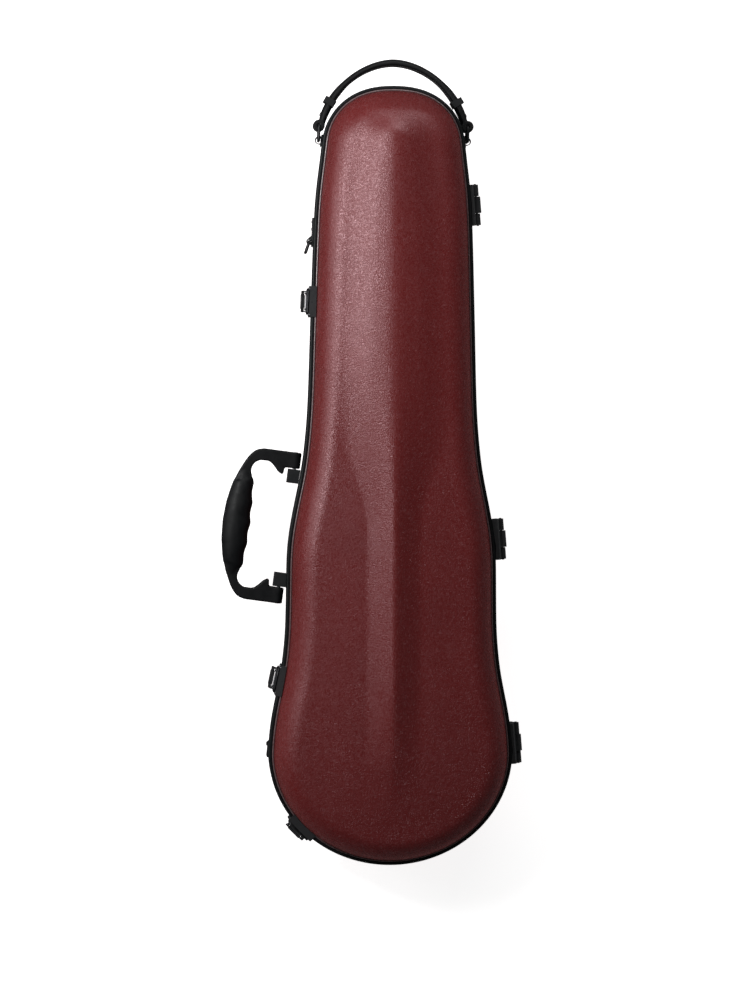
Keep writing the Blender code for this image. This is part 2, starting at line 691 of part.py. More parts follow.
def make_top_handle(base, top_handle, cutters, finishes):
    pivot = Matrix.Translation(Vector((0, TOP_LUG_HEIGHT, TOP_HANDLE_Z)))
    origin = pivot.inverted()
    thickness = monotone(((0, 3.9), (0.7, 3.5), (0.9, 4.2), (1.15, 4.3), (1.36, 3.4), (1.5, 3.2)))
    last = 1.405
    count = 22
    stations = []
    for k in range(count + 1):
        angle = last * (2 * k / count - 1)
        stations.append((origin @ strap_point(angle), thickness(abs(angle)), 9.0))
    strap = add("top_strap", loft(stations, power=4.0, sides=12), pivot, top_handle, finishes["leather"])
    x, far = ring_x(), RING_LENGTH
    for side, word in ((-1, "left"), (1, "right")):
        centre = (side * x, far)
        fuse(strap, prism(circle(5.0, centre), -9, 9), frame=pivot)
        cut(strap, prism(circle(1.9, centre, 12), -12, 12), frame=pivot)
        middle = RING_LENGTH / 2
        path = [Vector((side * x, middle + a, b)) for a, b in rounded_rectangle(middle, 11, 2.4)]
        ring = wire_loop(path, Vector((1, 0, 0)), 1.1)
        add(f"top_ring_{word}", ring, pivot, top_handle, finishes["hardware"])

        angle = side * SLIDER_ANGLE
        at, ahead = origin @ strap_point(angle), origin @ strap_point(angle + 0.02)
        along = (ahead - at).normalized()
        slide_frame = pivot @ frame_of(at, Vector((along.y, -along.x, 0)), along)
        slider = prism([(a - 0.9, b) for a, b in rounded_rectangle(6.1, 10.3, 1.6, 2)], -3.4, 3.4, "Y")
        slide = add(f"strap_slider_{word}", slider, slide_frame, top_handle, finishes["black_plastic"])
        cut(slide, prism(rounded_rectangle(4.8, 9.4, 0.8, 2), -10, 10, "Y"), frame=slide_frame)

        rim = edge_frame(TOP_LUG_HEIGHT, side)
        lug = block((-4, 1.5), (-6, 6), (-12.5, -1.5))
        lug = add(f"top_lug_{word}", lug, rim, base, finishes["hardware"])
        tab = [(-1, -5), *arc(4.1, -75, 75, 6, (TOP_LUG_REACH, 0)), (-1, 5)]
        fuse(lug, prism(tab, TOP_HANDLE_Z - 0.7, TOP_HANDLE_Z + 0.7), frame=rim)
        cut(lug, cutters["rim"], frame=rim)
        eye = Matrix.Translation(Vector((side * x, TOP_LUG_HEIGHT, TOP_HANDLE_Z)))
        cut(lug, prism(circle(2.8, sides=12), -4, 4), frame=eye)


STRAP_RING_REACH = 3.6


def strap_ring_frame(number):
    """Axes on a shoulder strap ring's pivot: X outwards, Y towards the wide end, Z up."""
    frame = edge_frame(STRAP_LUG_HEIGHTS[number], -1)
    out, z = (STRAP_RING_REACH, -8.0) if number == 0 else (STRAP_RING_REACH - SHELL_EDGE, -27.0)
    return frame @ Matrix.Translation(Vector((out, 0, z)))


def make_strap_rings(base, rings, cutters, finishes):
    for number, word in enumerate(("narrow", "wide")):
        frame = strap_ring_frame(number)
        inner = -STRAP_RING_REACH
        lug = add(
            f"strap_lug_{word}", block((inner - 3, inner + 1.7), (-24, 5.5), (-5.5, 5.5)), frame, base,
            finishes["hardware"],
        )  # fmt: skip
        tab = [(inner, -8), *arc(3.3, -60, 90, 6), (inner, 4)]
        fuse(lug, prism(tab, -1.6, 1.6), frame=frame)
        wall = cutters["rim" if number == 0 else "base_wall"]
        cut(lug, wall, prism(circle(1.8, sides=12), -4, 4), frame=frame)
        lean = math.radians(17 if number == 0 else 4)
        direction = Vector((math.sin(lean), math.cos(lean), 0))
        path = [direction * (6 + a) + Vector((0, 0, b)) for a, b in rounded_rectangle(6, 9, 2.4)]
        normal = direction.cross(Vector((0, 0, 1)))
        add(f"strap_ring_{word}", wire_loop(path, normal, 1.2), frame, rings[number], finishes["hardware"])


FEET = {"foot_wide_left": (-72, 120), "foot_wide_right": (72, 120),
        "foot_narrow_left": (-32, 640), "foot_narrow_right": (32, 640)}  # fmt: skip


def make_feet(base, finishes):
    shell_bottom = -(SHELL_EDGE + BASE_WALL)
    for name, (x, y) in FEET.items():
        frame = Matrix.Translation(Vector((x, y, 0)))
        add(name, prism(circle(9, sides=20), FLOOR_Z, shell_bottom - GAP), frame, base, finishes["rubber"])


def main():
    for leftover in list(bpy.data.objects):
        bpy.data.objects.remove(leftover)
    finishes = {
        "shell": paint("burgundy_shell", (0.155, 0.012, 0.014), 0.42),
        "rim": paint("black_rim", (0.012, 0.014, 0.015), 0.45),
        "rubber": paint("rubber", (0.02, 0.02, 0.02), 0.8),
        "plush": paint("plush", (0.03, 0.03, 0.035), 0.95),
        "webbing": paint("webbing", (0.02, 0.02, 0.02), 0.9),
        "black_plastic": paint("black_plastic", (0.012, 0.013, 0.014), 0.5),
        "hardware": paint("black_hardware", (0.015, 0.016, 0.017), 0.4),
        "leather": paint("leather", (0.013, 0.013, 0.014), 0.55),
        "steel": paint("dark_steel", (0.35, 0.35, 0.36), 0.3, 1.0),
    }
    base = joint_empty("case_base", CASE)
    lid = joint_empty("lid_axis", hinge_frame(HINGE_HEIGHTS[1]))
    accessory = joint_empty("accessory_lid_axis", Matrix.Translation(ACCESSORY_LID_HINGE))
    spinners = {
        side: joint_empty(f"bow_spinner_{side}_axis", Matrix.Translation(Vector((x, y, 0))))
        for side, (x, y) in SPINNER_PLACES.items()
    }
    levers, bails = [], []
    for number, height in enumerate(LATCH_HEIGHTS, 1):
        for made, word, (n, z) in ((levers, "lever", LATCH_PIVOT), (bails, "bail", BAIL_PIVOT)):
            at = latch_frame(height) @ Matrix.Translation(Vector((n, 0, z)))
            made.append(joint_empty(f"latch_{word}_{number}_axis", at))
    handle = joint_empty("side_handle_axis", handle_frame())
    top_handle = joint_empty("top_handle_axis", Matrix.Translation(Vector((0, TOP_LUG_HEIGHT, TOP_HANDLE_Z))))
    rings = [joint_empty(f"strap_ring_{number}_axis", strap_ring_frame(number)) for number in (0, 1)]

    cutters = {
        "rim": guide("rim_cutter", outline_prism(-GAP, BASE_RIM_BOTTOM - GAP, LID_RIM_TOP + GAP)),
        "lid_wall": guide("lid_wall_cutter", outline_prism(SHELL_EDGE - 0.6, LID_RIM_TOP - 2, 90)),
        "base_wall": guide("base_wall_cutter", outline_prism(SHELL_EDGE - 0.4, -70, BASE_RIM_BOTTOM + 2)),
    }
    make_rims(base, lid, finishes)
    make_shells(base, lid, finishes)
    make_liners(base, lid, accessory, finishes)
    make_bow_holders(lid, spinners, finishes)
    make_hinges(base, lid, cutters, finishes)
    make_latches(base, lid, levers, bails, cutters, finishes)
    make_handle(base, handle, cutters, finishes)
    make_top_handle(base, top_handle, cutters, finishes)
    make_strap_rings(base, rings, cutters, finishes)
    make_feet(base, finishes)


main()
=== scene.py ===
"""The violin case's look: its fine surfaces and materials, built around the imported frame.

Shapes are worked out in millimetres in the case's own axes: X across, Y from the wide end to the narrow
end and Z up from the seam between base and lid. CASE places those axes in the frame. The hinges are on the
+X side.
"""

import json
import math

import bmesh
import bpy
from mathutils import Matrix, Vector


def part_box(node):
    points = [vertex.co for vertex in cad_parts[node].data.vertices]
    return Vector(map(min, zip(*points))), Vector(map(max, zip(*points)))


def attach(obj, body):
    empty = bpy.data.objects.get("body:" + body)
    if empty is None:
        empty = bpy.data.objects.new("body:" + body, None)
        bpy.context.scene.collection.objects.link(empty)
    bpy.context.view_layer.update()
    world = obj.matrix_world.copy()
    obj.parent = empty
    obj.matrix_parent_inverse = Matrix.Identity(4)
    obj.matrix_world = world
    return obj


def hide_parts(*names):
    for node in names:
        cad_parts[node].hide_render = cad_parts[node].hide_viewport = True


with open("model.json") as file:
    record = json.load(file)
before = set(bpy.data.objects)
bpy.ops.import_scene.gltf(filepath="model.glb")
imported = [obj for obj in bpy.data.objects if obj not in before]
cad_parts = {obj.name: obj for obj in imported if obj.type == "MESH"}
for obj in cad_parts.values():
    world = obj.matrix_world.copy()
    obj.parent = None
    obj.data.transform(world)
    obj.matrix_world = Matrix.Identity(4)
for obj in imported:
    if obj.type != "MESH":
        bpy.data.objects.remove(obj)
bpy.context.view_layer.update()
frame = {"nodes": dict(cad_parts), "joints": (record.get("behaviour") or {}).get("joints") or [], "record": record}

MM = 0.001
NODES = frame["nodes"]
JOINTS = {joint["name"]: joint for joint in frame["joints"]}
UP = Vector((0, 0, 1))


def case_origin():
    low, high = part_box("lid_rim_wide")
    return Vector(((low.x + high.x) / 2, low.y, (low.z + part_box("base_rim")[1].z) / 2))


CASE = Matrix.Translation(case_origin())

# The case's outline and sculpture, as part.py has them
LENGTH = 790.0
WIDE_CENTRE = 116.0
NARROW_CENTRE = 731.0
NARROW_POWER = 2.3
SIDE_STATIONS = (
    (0, 124.2), (116, 124.2), (160, 119), (195, 111.6), (244, 107), (317, 106), (366, 98.9),
    (403, 91.3), (463, 85.7), (561, 82.8), (670, 79.1), (731, 72.3), (790, 67),
)
SHELL_EDGE = 5.3
SHELL_THICK = 3.0
WALL_POWER = 2.4
LID_RADIUS, LID_WALL = 25.0, 40.0
BASE_RADIUS, BASE_WALL = 28.0, 66.7
LINER_EDGE = 9.9
LINER_THICK = 3.5
BACKING_THICK = 2.3  # the cloth and foam that line the base shell behind the violin's bed
KEEL_HALF = 28.0
KEEL_LOW, KEEL_HIGH = 9.0, 14.0
KEEL_SPREADS = (345, 540)  # the stretch of the length over which the keel widens into a gable
DOME_LOW, DOME_HIGH = 8.0, 3.0
ROOF_CHANGES = (340, 500)  # the stretch over which dome and keel go from their low to their high values
ROOF_SOFTNESS = 0.15  # how round the keel's ridge and the dome's top are
QUARTER_TURN = math.pi / 2


# ---------------------------------------------------------------- curves


def smooth(low, high, value):
    share = min(1.0, max(0.0, (value - low) / (high - low)))
    return share * share * (3 - 2 * share)


def monotone(stations):
    """A smooth curve through the stations that never overshoots them."""
    xs, ys = zip(*stations)
    slopes = [(ys[i + 1] - ys[i]) / (xs[i + 1] - xs[i]) for i in range(len(xs) - 1)]
    tangents = [slopes[0]]
    for before, after in zip(slopes, slopes[1:]):
        tangents.append(0.0 if before * after <= 0 else 2 * before * after / (before + after))
    tangents.append(slopes[-1])

    def curve(x):
        i = next((k for k in range(len(xs) - 2) if x < xs[k + 1]), len(xs) - 2)
        span = xs[i + 1] - xs[i]
        t = min(1.0, max(0.0, (x - xs[i]) / span))
        rise = t * t * (3 - 2 * t)
        pull = span * t * (1 - t) * (tangents[i] * (1 - t) - tangents[i + 1] * t)
        return ys[i] + (ys[i + 1] - ys[i]) * rise + pull

    return curve


side_curve = monotone(SIDE_STATIONS)


def half_width(y):
    """The side curve, averaged over a short stretch so that its curvature changes softly."""
    return sum(side_curve(y + step) for step in (-16, -8, 0, 8, 16)) / 5


def end_share(y):
    """(how far y is into an end cap from 0 to 1, that cap's power)"""
    if y < WIDE_CENTRE:
        return (WIDE_CENTRE - y) / WIDE_CENTRE, 2.0
    return max(0.0, (y - NARROW_CENTRE) / (LENGTH - NARROW_CENTRE)), NARROW_POWER


def outline_x(y):
    share, power = end_share(y)
    return half_width(y) * max(0.0, 1 - share**power) ** (1 / power)


def centrality(x, y):
    """0 on the case's middle line, 1 on its outline."""
    share, power = end_share(y)
    return (abs(x / half_width(y)) ** power + share**power) ** (1 / power)


def case_outline():
    heights = [WIDE_CENTRE * (1 - math.cos(QUARTER_TURN * k / 44)) for k in range(44)]
    heights += [WIDE_CENTRE + (NARROW_CENTRE - WIDE_CENTRE) * k / 124 for k in range(124)]
    cap = LENGTH - NARROW_CENTRE
    heights += [NARROW_CENTRE + cap * math.sin(QUARTER_TURN * k / 34) for k in range(35)]
    right = [Vector((outline_x(y), y)) for y in heights]
    right[0].x = right[-1].x = 0.0
    return right + [Vector((-p.x, p.y)) for p in reversed(right[1:-1])]


OUTLINE = case_outline()
INWARD = []
for number, point in enumerate(OUTLINE):
    along = (OUTLINE[(number + 1) % len(OUTLINE)] - OUTLINE[number - 1]).normalized()
    INWARD.append(Vector((-along.y, along.x)))


def outline(inset):
    return [point + inward * inset for point, inward in zip(OUTLINE, INWARD)]


def crown(x, y):
    """How far the lid's roof stands above its walls, as a shallow dome and a keel that becomes a gable."""
    middle = centrality(x, y)
    from_edge = (1 - middle) * half_width(y)
    upper = smooth(*ROOF_CHANGES, y)
    soft = ROOF_SOFTNESS
    slope = (math.hypot(middle, soft) - soft) / (math.hypot(1, soft) - soft)
    dome = (DOME_LOW + (DOME_HIGH - DOME_LOW) * upper) * (1 - min(1.0, slope))
    keel_half = KEEL_HALF + (half_width(y) - KEEL_HALF) * smooth(*KEEL_SPREADS, y)
    across = min(1.0, abs(x) / keel_half)
    tent = 1 - (math.hypot(across, soft) - soft) / (math.hypot(1, soft) - soft)
    ends = smooth(8, 62, from_edge) * smooth(40, 190, y)
    keel = (KEEL_LOW + (KEEL_HIGH - KEEL_LOW) * upper) * max(0.0, tent) ** 1.4 * ends
    return (dome + keel) * smooth(SHELL_EDGE, SHELL_EDGE + LID_RADIUS, from_edge)


def frame_of(origin, x_axis, y_axis):
    rotation = Matrix((x_axis, y_axis, x_axis.cross(y_axis))).transposed()
    return Matrix.Translation(origin) @ rotation.to_4x4()


def joint_frame(name, turn=1):
    """Axes on a joint, in the frame: X outwards, Y along the joint's line and Z up."""
    joint = JOINTS[name]
    along = Vector(joint["axis"]) * turn
    return frame_of(Vector(joint["pos_m"]), along.cross(UP).normalized(), along)


def edge_frame(y, side):
    """Axes on the rim's outer face at a height of the case: X outwards, Z up."""
    slope = outline_x(y + 0.5) - outline_x(y - 0.5)
    outward = Vector((side, -slope, 0)).normalized()
    return CASE @ Matrix.Translation(Vector((side * outline_x(y), y, 0)) * MM) @ frame_of(
        Vector(), outward, UP.cross(outward)
    )


# ---------------------------------------------------------------- looks


class Look:
    """A Principled material, with short ways to add nodes to it."""

    def __init__(self, name, colour, roughness, metallic=0.0, **sockets):
        self.material = bpy.data.materials.new(name)
        self.material.use_nodes = True
        self.tree = self.material.node_tree
        self.shader = self.tree.nodes["Principled BSDF"]
        self.colour = (*colour, 1)
        self.shader.inputs["Base Color"].default_value = self.colour
        self.shader.inputs["Roughness"].default_value = roughness
        self.shader.inputs["Metallic"].default_value = metallic
        for socket, value in sockets.items():
            self.shader.inputs[socket.replace("_", " ")].default_value = value
        self.place = self.node("TexCoord").outputs["Object"]

    def node(self, kind, **settings):
        made = self.tree.nodes.new("ShaderNode" + kind)
        for key, value in settings.items():
            setattr(made, key, value)
        return made

    def join(self, source, target):
        self.tree.links.new(source, target)

    def stretched(self, scale):
        mapping = self.node("Mapping")
        self.join(self.place, mapping.inputs["Vector"])
        mapping.inputs["Scale"].default_value = scale
        return mapping.outputs["Vector"]

    def noise(self, scale, detail=2.0, place=None):
        made = self.node("TexNoise")
        self.join(place or self.place, made.inputs["Vector"])
        made.inputs["Scale"].default_value = scale
        made.inputs["Detail"].default_value = detail
        return made.outputs["Fac"]

    def cells(self, scale, output="Distance", feature="F1"):
        made = self.node("TexVoronoi", feature=feature)
        self.join(self.place, made.inputs["Vector"])
        made.inputs["Scale"].default_value = scale
        return made.outputs[output]

    def waves(self, scale, direction, distortion=0.0):
        made = self.node("TexWave", bands_direction=direction)
        self.join(self.place, made.inputs["Vector"])
        made.inputs["Scale"].default_value = scale
        made.inputs["Distortion"].default_value = distortion
        return made.outputs["Fac"]

    def span(self, value, low, high, to_low, to_high):
        made = self.node("MapRange")
        self.join(value, made.inputs["Value"])
        for socket, number in zip(("From Min", "From Max", "To Min", "To Max"), (low, high, to_low, to_high)):
            made.inputs[socket].default_value = number
        return made.outputs["Result"]

    def maths(self, operation, first, second):
        made = self.node("Math", operation=operation)
        for socket, value in zip(made.inputs, (first, second)):
            if isinstance(value, (int, float)):
                socket.default_value = value
            else:
                self.join(value, socket)
        return made.outputs["Value"]

    def tint(self, share, other, under=None):
        """Mixes another colour in by a share, over the plain colour or over an earlier tint."""
        made = self.node("Mix", data_type="RGBA")
        self.join(share, made.inputs[0])
        if under:
            self.join(under, made.inputs[6])
        else:
            made.inputs[6].default_value = self.colour
        made.inputs[7].default_value = (*other, 1)
        self.join(made.outputs[2], self.shader.inputs["Base Color"])
        return made.outputs[2]

    def rough(self, value):
        self.join(value, self.shader.inputs["Roughness"])

    def bump(self, height, distance, strength=1.0, under=None):
        made = self.node("Bump")
        self.join(height, made.inputs["Height"])
        made.inputs["Distance"].default_value = distance * MM
        made.inputs["Strength"].default_value = strength
        if under:
            self.join(under, made.inputs["Normal"])
        self.join(made.outputs["Normal"], self.shader.inputs["Normal"])
        return made.outputs["Normal"]

    def lighter_sharp_edges(self, other, under=None):
        # lightens the sharpest convex edges towards another colour
        edge = self.node("NewGeometry").outputs["Pointiness"]
        return self.tint(self.span(edge, 0.53, 0.62, 0, 0.7), other, under)


def shell_look():
    """Dark red polycarbonate with a fine pebbled grain that glitters where it catches the light."""
    look = Look("burgundy_shell", (0.128, 0.0112, 0.0108), 0.36, Specular_IOR_Level=0.8)
    look.shader.inputs["Specular Tint"].default_value = (1, 0.72, 0.76, 1)
    deep = look.tint(look.span(look.noise(16, 3), 0.3, 0.7, 0, 0.5), (0.108, 0.0092, 0.009))
    # pale pink flecks in the base colour: painted glints of the grain's glitter
    painted_glint_flecks = look.span(look.cells(900, "Color"), 0.72, 0.95, 0, 0.4)
    look.tint(painted_glint_flecks, (0.26, 0.09, 0.095), deep)
    look.rough(look.span(look.cells(1000, "Color"), 0.15, 0.85, 0.2, 0.46))
    pebbles = look.maths("ADD", look.noise(900, 2), look.maths("MULTIPLY", look.cells(1050, "Color"), 0.5))
    look.bump(pebbles, 0.4, 0.85)
    return look


def lip_look():
    """The shell's polished edge, coloured pale pinkish grey as a painted highlight along it."""
    look = Look("polished_lip_painted_highlight", (0.13, 0.082, 0.085), 0.26, Specular_IOR_Level=0.9)
    look.tint(look.span(look.noise(90, 3), 0.35, 0.7, 0, 0.6), (0.1, 0.058, 0.06))
    look.rough(look.span(look.noise(300, 2), 0.3, 0.7, 0.2, 0.36))
    look.bump(look.noise(900, 2), 0.05, 0.5)
    return look


def rim_look():
    look = Look("black_rim", (0.0045, 0.0055, 0.006), 0.46, Specular_IOR_Level=0.22)
    wear = look.tint(look.span(look.noise(60, 3), 0.35, 0.75, 0, 0.6), (0.0075, 0.0085, 0.009))
    look.lighter_sharp_edges((0.022, 0.024, 0.025), wear)
    look.rough(look.span(look.noise(240, 3), 0.3, 0.7, 0.38, 0.56))
    look.bump(look.noise(1500, 3), 0.05, 0.6)
    return look


def black_plastic_look():
    look = Look("black_plastic", (0.003, 0.0034, 0.004), 0.5, Specular_IOR_Level=0.2)
    wear = look.tint(look.span(look.noise(45, 4), 0.4, 0.8, 0, 0.7), (0.005, 0.0056, 0.0064))
    look.lighter_sharp_edges((0.016, 0.017, 0.018), wear)
    look.rough(look.span(look.noise(180, 3), 0.3, 0.7, 0.42, 0.6))
    look.bump(look.maths("ADD", look.cells(1300), look.noise(900, 3)), 0.06, 0.7)
    return look


def hardware_look():
    look = Look("black_hardware", (0.003, 0.0035, 0.004), 0.34, 0.05, Specular_IOR_Level=0.28)
    wear = look.tint(look.span(look.noise(70, 4), 0.4, 0.8, 0, 0.7), (0.0055, 0.006, 0.007))
    look.lighter_sharp_edges((0.045, 0.046, 0.048), wear)
    look.rough(look.span(look.noise(320, 3), 0.3, 0.7, 0.26, 0.46))
    look.bump(look.noise(1700, 2), 0.035, 0.6)
    return look


def leather_look():
    look = Look("black_leather", (0.0038, 0.004, 0.0047), 0.5, Specular_IOR_Level=0.25, Sheen_Weight=0.02)
    creased = look.tint(look.span(look.cells(520), 0.0, 0.5, 0.6, 0), (0.0022, 0.0022, 0.0028))
    look.lighter_sharp_edges((0.02, 0.02, 0.022), creased)
    look.rough(look.span(look.noise(150, 3), 0.3, 0.7, 0.38, 0.6))
    look.bump(look.maths("ADD", look.cells(620, feature="SMOOTH_F1"), look.noise(900, 3)), 0.22, 0.5)
    return look


def steel_look():
    look = Look("nickel_wire", (0.26, 0.26, 0.28), 0.34, 1.0)
    look.tint(look.span(look.noise(90, 4), 0.45, 0.8, 0, 0.5), (0.14, 0.135, 0.135))
    look.rough(look.span(look.noise(600, 2, look.stretched((1, 8, 1))), 0.3, 0.7, 0.24, 0.45))
    look.bump(look.noise(1400, 2, look.stretched((1, 10, 1))), 0.02, 0.5)
    return look


def dark_wire_look():
    """The latches' bails: the same nickel wire, coloured near black along its length as painted shade."""
    look = Look("nickel_wire_dark_painted_shade", (0.03, 0.03, 0.033), 0.36, 0.9)
    look.tint(look.span(look.noise(140, 4), 0.5, 0.75, 0, 0.6), (0.12, 0.12, 0.125))
    look.rough(look.span(look.noise(500, 2, look.stretched((1, 8, 1))), 0.3, 0.7, 0.3, 0.5))
    look.bump(look.noise(1400, 2, look.stretched((1, 10, 1))), 0.02, 0.5)
    return look


def rubber_look():
    look = Look("rubber", (0.014, 0.014, 0.0145), 0.72)
    look.tint(look.span(look.noise(55, 4), 0.4, 0.75, 0, 0.8), (0.024, 0.024, 0.025))
    look.rough(look.span(look.noise(260, 3), 0.3, 0.7, 0.62, 0.85))
    look.bump(look.noise(1100, 3), 0.08, 0.6)
    return look


def plush_look():
    look = Look("charcoal_velour", (0.022, 0.0225, 0.026), 0.95, Sheen_Weight=0.75, Sheen_Roughness=0.42)
    look.shader.inputs["Sheen Tint"].default_value = (0.55, 0.56, 0.62, 1)
    brushed = look.tint(look.span(look.noise(34, 4), 0.35, 0.7, 0, 0.9), (0.036, 0.0365, 0.041))
    look.tint(look.span(look.noise(1900, 2), 0.4, 0.75, 0, 0.55), (0.055, 0.056, 0.062), brushed)
    look.rough(look.span(look.noise(120, 2), 0.3, 0.7, 0.85, 1))
    pile = look.bump(look.noise(1500, 3, look.stretched((1, 0.6, 1))), 0.5, 0.75)
    look.bump(look.noise(40, 3), 1.2, 0.35, pile)
    return look


def webbing_look():
    look = Look("black_webbing", (0.018, 0.018, 0.02), 0.85, Sheen_Weight=0.3, Sheen_Roughness=0.5)
    weave = look.maths("MULTIPLY", look.waves(420, "X"), look.waves(300, "Y"))
    look.tint(look.span(weave, 0.1, 0.8, 0, 0.8), (0.05, 0.05, 0.054))
    look.rough(look.span(look.noise(200, 3), 0.3, 0.7, 0.75, 0.95))
    look.bump(weave, 0.35, 0.9)
    return look


LOOKS = {
    "shell": shell_look(),
    "lip": lip_look(),
    "rim": rim_look(),
    "black_plastic": black_plastic_look(),
    "hardware": hardware_look(),
    "leather": leather_look(),
    "steel": steel_look(),
    "dark_wire": dark_wire_look(),
    "rubber": rubber_look(),
    "plush": plush_look(),
    "webbing": webbing_look(),
}
NODE_SLOTS = {part["node"]: part["material_slot"] for part in frame["record"]["subparts"]}


# ---------------------------------------------------------------- shapes


def faces_out(shape):
    bmesh.ops.recalc_face_normals(shape, faces=shape.faces[:])
    return shape


def skin(rings, closed_rings=True, loop=False, caps=False):
    """Faces between rings of points. loop joins the last ring to the first, caps closes the two end rings."""
    shape = bmesh.new()
    rows = [[shape.verts.new(p) for p in ring] for ring in rings]
    pairs = list(zip(rows, rows[1:])) + ([(rows[-1], rows[0])] if loop else [])
    count = len(rows[0])
    for row, following in pairs:
        for k in range(count if closed_rings else count - 1):
            n = (k + 1) % count
            shape.faces.new((row[k], row[n], following[n], following[k]))
    if caps:
        shape.faces.new(rows[0])
        shape.faces.new(rows[-1])
    return shape


def join(*shapes):
    """One shape from several, which lie beside or in each other."""
    whole = bmesh.new()
    for shape in shapes:
        carrier = bpy.data.meshes.new("carrier")
        shape.to_mesh(carrier)
        shape.free()
        whole.from_mesh(carrier)
        bpy.data.meshes.remove(carrier)
    return whole


def placed(shape, matrix):
    bmesh.ops.transform(shape, matrix=matrix, verts=shape.verts[:])
    return shape


def arc(radius, start, end, steps, centre=(0, 0)):
    angles = [math.radians(start + (end - start) * k / steps) for k in range(steps + 1)]
    return [(centre[0] + radius * math.cos(a), centre[1] + radius * math.sin(a)) for a in angles]


def rounded_rectangle(half_a, half_b, radius, steps=6):
    a, b = half_a - radius, half_b - radius
    points = []
    for corner, centre in enumerate(((a, b), (-a, b), (-a, -b), (a, -b))):
        points += arc(radius, 90 * corner, 90 * corner + 90, steps, centre)
    return points


def prism(points, low, high, edge, axis="Z"):
    """A polygon extruded along an axis, with its edges rounded by edge."""
    order = {"Z": lambda a, b, c: (a, b, c), "Y": lambda a, b, c: (a, c, b)}[axis]
    shape = faces_out(skin([[order(a, b, c) for a, b in points] for c in (low, high)], caps=True))
    sharp = [e for e in shape.edges if e.calc_face_angle(0) > math.radians(35)]
    bmesh.ops.bevel(
        shape, geom=sharp, offset=edge, segments=3, profile=0.5, affect="EDGES", clamp_overlap=True
    )
    return shape


def turned(profile, steps=40):
    """A profile of (radius, height) points turned about Z. Its ends lie on the axis."""
    rings = []
    for k in range(steps):
        angle = 2 * math.pi * k / steps
        rings.append([(r * math.cos(angle), r * math.sin(angle), z) for r, z in profile])
    shape = skin(rings, closed_rings=False, loop=True)
    bmesh.ops.remove_doubles(shape, verts=shape.verts[:], dist=0.001)
    return faces_out(shape)


RIVET_SUNK = 0.4


def rivet(radius, height):
    """A domed head about Z, sunk a little into what it holds."""
    angles = [math.radians(a) for a in range(0, 90, 15)]
    rise = [(radius * math.cos(a), height * math.sin(a)) for a in angles]
    return turned([(0, -RIVET_SUNK), (radius, -RIVET_SUNK), *rise, (0, height)], 20)


def outward_rivet(radius, height, place):
    turn = Matrix.Rotation(math.copysign(QUARTER_TURN, place[0]), 4, "Y")
    return placed(rivet(radius, height), Matrix.Translation(Vector(place)) @ turn)


def band(section):
    """A section of (inset, z) points swept round the case's outline."""
    rings = [[(p.x, p.y, z) for p in outline(inset)] for inset, z in section]
    return faces_out(skin(rings, loop=True))


def softened(section, radius, steps=3):
    """A closed section with each of its corners rounded."""
    points = []
    for i, corner in enumerate(section):
        corner = Vector(corner)
        before, after = Vector(section[i - 1]) - corner, Vector(section[(i + 1) % len(section)]) - corner
        reach = min(radius, before.length * 0.45, after.length * 0.45)
        start, end = corner + before.normalized() * reach, corner + after.normalized() * reach
        for k in range(steps + 1):
            t = k / steps
            points.append(tuple(start * (1 - t) ** 2 + corner * (2 * t * (1 - t)) + end * t**2))
    return points


def wire_loop(path, normal, radius, sides=14):
    """A round wire along a closed flat path."""
    rings = []
    for i, point in enumerate(path):
        along = (path[(i + 1) % len(path)] - path[i - 1]).normalized()
        across = along.cross(normal)
        turns = [2 * math.pi * k / sides for k in range(sides)]
        rings.append([point + (across * math.cos(t) + normal * math.sin(t)) * radius for t in turns])
    return faces_out(skin(rings, loop=True))


def loft(stations, section):
    """A section carried along a level path, by stations of (centre, half width, half depth along Z)."""
    rings = []
    for i, (centre, half, depth) in enumerate(stations):
        before, after = stations[max(0, i - 1)][0], stations[min(len(stations) - 1, i + 1)][0]
        across = (after - before).normalized().cross(UP)
        rings.append([centre + across * (half * a) + UP * (depth * b) for a, b in section])
    return faces_out(skin(rings, caps=True))


def superellipse(power, sides):
    points = []
    for k in range(sides):
        angle = 2 * math.pi * (k + 0.5) / sides
        c, s = math.cos(angle), math.sin(angle)
        points.append((math.copysign(abs(c) ** (2 / power), c), math.copysign(abs(s) ** (2 / power), s)))
    return points


def spline(stations, steps):
    """Catmull-Rom points through rows of numbers."""
    rows = [stations[0], *stations, stations[-1]]
    points = []
    for p, q, r, s in zip(rows, rows[1:], rows[2:], rows[3:]):
        for k in range(steps):
            t = k / steps
            weights = (-t + 2 * t**2 - t**3, 2 - 5 * t**2 + 3 * t**3, t + 4 * t**2 - 3 * t**3, t**3 - t**2)
            points.append([sum(w * v for w, v in zip(weights, values)) / 2 for values in zip(p, q, r, s)])
    return [*points, list(stations[-1])]


# ---------------------------------------------------------------- pieces


def object_from(name, shape, at):
    """An object in the scene from a shape drawn in millimetres in the axes at."""
    placed(shape, at @ Matrix.Scale(MM, 4))
    mesh = bpy.data.meshes.new(name)
    shape.to_mesh(mesh)
    shape.free()
    made = bpy.data.objects.new(name, mesh)
    bpy.context.scene.collection.objects.link(made)
    return made


def settle(made, body, nodes):
    """The piece rides on its body, and the CAD nodes that it replaces are hidden."""
    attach(made, body)
    if nodes:
        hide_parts(*nodes)


def piece(name, shape, body, look, *nodes, at=CASE, sharp=35):
    """A shape as a piece, smooth but for edges sharper than sharp degrees."""
    made = object_from(name, shape, at)
    made.data.materials.append(LOOKS[look].material)
    made.data.shade_smooth()
    made.data.set_sharp_from_angle(angle=math.radians(sharp))
    settle(made, body, nodes)
    return made


